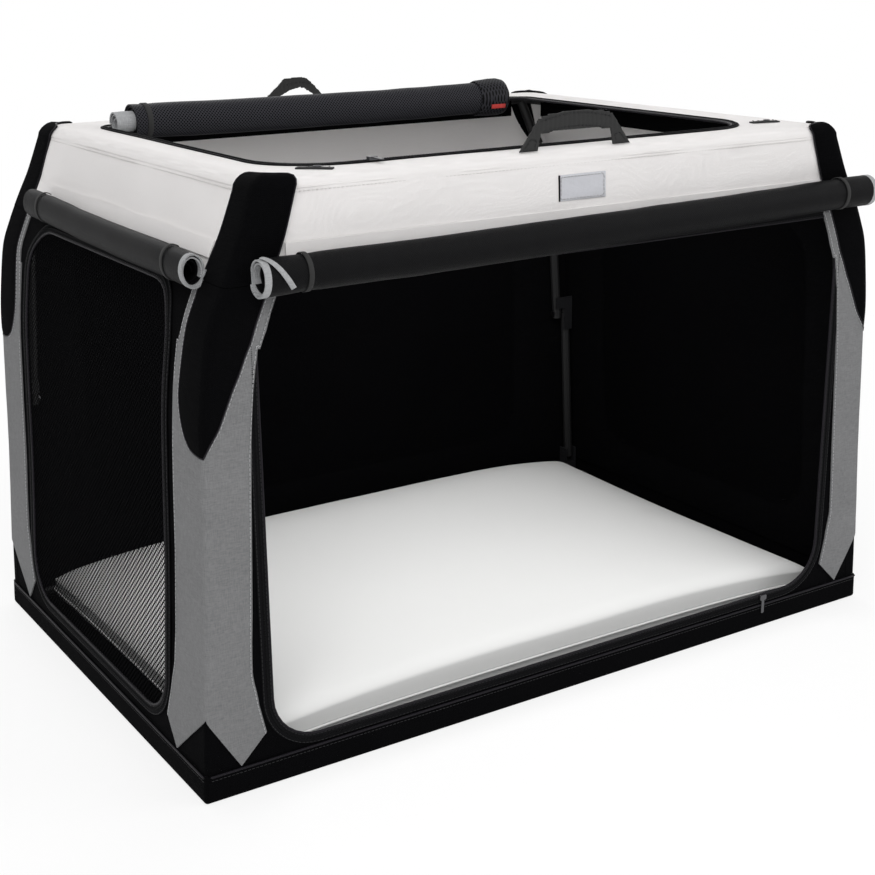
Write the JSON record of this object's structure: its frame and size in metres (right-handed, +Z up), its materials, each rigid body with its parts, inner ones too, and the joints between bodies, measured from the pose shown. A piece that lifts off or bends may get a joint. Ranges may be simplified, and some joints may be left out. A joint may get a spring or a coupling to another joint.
{
  "type": "soft folding dog crate",
  "caption": "Soft-sided dog crate on a folding tube frame, with a wide zipped front door, a mesh side door, a roof opening, rolled covers and carry handles.",
  "frame": {"origin": "middle of the floor tray's underside, on the ground", "axes": "+X along the crate's length, away from the end with the mesh door; the wide front door faces -Y; +Z up"},
  "size_m": [1.07, 0.7424, 0.7556],
  "materials": {
    "black_fabric": "woven polyester, matt",
    "black_mesh": "open polyester net, matt",
    "grey_fabric": "heather woven polyester, matt",
    "white_fabric": "coated woven polyester, matt",
    "roll_fabric": "coated woven polyester, slight sheen",
    "fleece": "short fleece pile",
    "webbing": "ribbed webbing",
    "steel_tube": "black powder coat",
    "zinc": "zinc plated",
    "moulding": "black moulded nylon",
    "label": "plain woven patch, blank"
  },
  "bodies": {
    "base": {"base_tray": "black_fabric", "base_frame": "steel_tube", "fleece_mat": "fleece", "front_left_base_bracket": "moulding", "front_right_base_bracket": "moulding", "back_left_base_bracket": "moulding", "back_right_base_bracket": "moulding", "front_wall": "black_fabric", "back_wall": "black_fabric", "left_wall": "black_fabric", "right_wall": "black_fabric", "back_window_net": "black_mesh", "right_window_net": "black_mesh", "back_window_cover": "black_fabric", "right_window_cover": "black_fabric", "front_left_corner_sleeve": "grey_fabric", "front_right_corner_sleeve": "grey_fabric", "back_left_corner_sleeve": "grey_fabric", "back_right_corner_sleeve": "grey_fabric"},
    "front_lower_posts": {"front_left_lower_post": "steel_tube", "front_left_knee_pin": "zinc", "front_left_knee_stop": "moulding", "front_right_lower_post": "steel_tube", "front_right_knee_pin": "zinc", "front_right_knee_stop": "moulding"},
    "front_upper_posts": {"front_left_upper_post": "steel_tube", "front_right_upper_post": "steel_tube"},
    "back_lower_posts": {"back_left_lower_post": "steel_tube", "back_left_knee_pin": "zinc", "back_left_knee_stop": "moulding", "back_right_lower_post": "steel_tube", "back_right_knee_pin": "zinc", "back_right_knee_stop": "moulding"},
    "back_upper_posts": {"back_left_upper_post": "steel_tube", "back_right_upper_post": "steel_tube"},
    "top": {"top_frame": "steel_tube", "roof_cover": "white_fabric", "roof_zip_rim": "roll_fabric", "label_patch": "label", "left_zip_tab": "webbing", "right_zip_tab": "webbing", "front_left_corner_pad": "black_fabric", "front_right_corner_pad": "black_fabric", "back_left_corner_pad": "black_fabric", "back_right_corner_pad": "black_fabric"},
    "front_roll": {"front_door_roll": "roll_fabric", "front_roll_left_loop": "webbing", "front_roll_right_loop": "webbing"},
    "left_roll": {"left_cover_roll": "roll_fabric", "left_roll_front_loop": "webbing", "left_roll_back_loop": "webbing"},
    "roof_roll": {"roof_door_roll": "black_mesh", "roof_roll_left_strap": "webbing", "roof_roll_right_strap": "webbing"},
    "left_door": {"left_mesh_door": "black_mesh"},
    "front_handle": {"front_handle": "webbing"},
    "rear_handle": {"rear_handle": "webbing"},
    "roof_slider": {"roof_zip_slider": "zinc"},
    "front_slider": {"front_zip_slider": "zinc"}
  },
  "joints": [
    {"name": "front_base_hinge", "type": "hinge", "parent": "base", "child": "front_lower_posts", "pos_m": [0, -0.333, 0.05], "axis": [-1, 0, 0], "range_deg": [0, 86], "deforming": ["front_wall", "back_wall", "left_wall", "right_wall", "back_window_net", "right_window_net", "back_window_cover", "right_window_cover", "front_left_corner_sleeve", "front_right_corner_sleeve", "back_left_corner_sleeve", "back_right_corner_sleeve", "left_mesh_door"]},
    {"name": "front_knee", "type": "hinge", "parent": "front_lower_posts", "child": "front_upper_posts", "pos_m": [0, -0.333, 0.3175], "axis": [1, 0, 0], "range_deg": [0, 172]},
    {"name": "front_top_hinge", "type": "hinge", "parent": "front_upper_posts", "child": "top", "pos_m": [0, -0.333, 0.585], "axis": [-1, 0, 0], "range_deg": [0, 86]},
    {"name": "back_base_hinge", "type": "hinge", "parent": "base", "child": "back_lower_posts", "pos_m": [0, 0.333, 0.05], "axis": [1, 0, 0], "range_deg": [0, 86]},
    {"name": "back_knee", "type": "hinge", "parent": "back_lower_posts", "child": "back_upper_posts", "pos_m": [0, 0.333, 0.3175], "axis": [-1, 0, 0], "range_deg": [0, 172]},
    {"name": "front_roll_lift", "type": "hinge", "parent": "top", "child": "front_roll", "pos_m": [0, -0.3503, 0.64], "axis": [-1, 0, 0], "range_deg": [0, 80]},
    {"name": "left_roll_lift", "type": "hinge", "parent": "top", "child": "left_roll", "pos_m": [-0.4562, 0, 0.64], "axis": [0, 1, 0], "range_deg": [0, 80]},
    {"name": "roof_roll_flip", "type": "hinge", "parent": "top", "child": "roof_roll", "pos_m": [0, 0.26, 0.7121], "axis": [-1, 0, 0], "range_deg": [0, 125]},
    {"name": "left_door_swing", "type": "hinge", "parent": "base", "child": "left_door", "pos_m": [-0.4784, 0, 0.59], "axis": [0, 1, 0], "range_deg": [0, 80]},
    {"name": "front_handle_swing", "type": "hinge", "parent": "top", "child": "front_handle", "pos_m": [-0.003, -0.336, 0.7125], "axis": [1, 0, 0], "range_deg": [-70, 70]},
    {"name": "rear_handle_swing", "type": "hinge", "parent": "top", "child": "rear_handle", "pos_m": [-0.022, 0.336, 0.7125], "axis": [-1, 0, 0], "range_deg": [-70, 70]},
    {"name": "roof_zip_slide", "type": "slide", "parent": "top", "child": "roof_slider", "axis": [1, 0, 0], "range_m": [0, 0.5]},
    {"name": "front_zip_slide", "type": "slide", "parent": "base", "child": "front_slider", "axis": [1, 0, 0], "range_m": [-0.7, 0]}
  ],
  "couplings": [
    {"joint": "front_knee", "follows": "front_base_hinge", "ratio": 2},
    {"joint": "front_top_hinge", "follows": "front_base_hinge", "ratio": 1},
    {"joint": "back_base_hinge", "follows": "front_base_hinge", "ratio": 1},
    {"joint": "back_knee", "follows": "front_base_hinge", "ratio": 2}
  ]
}
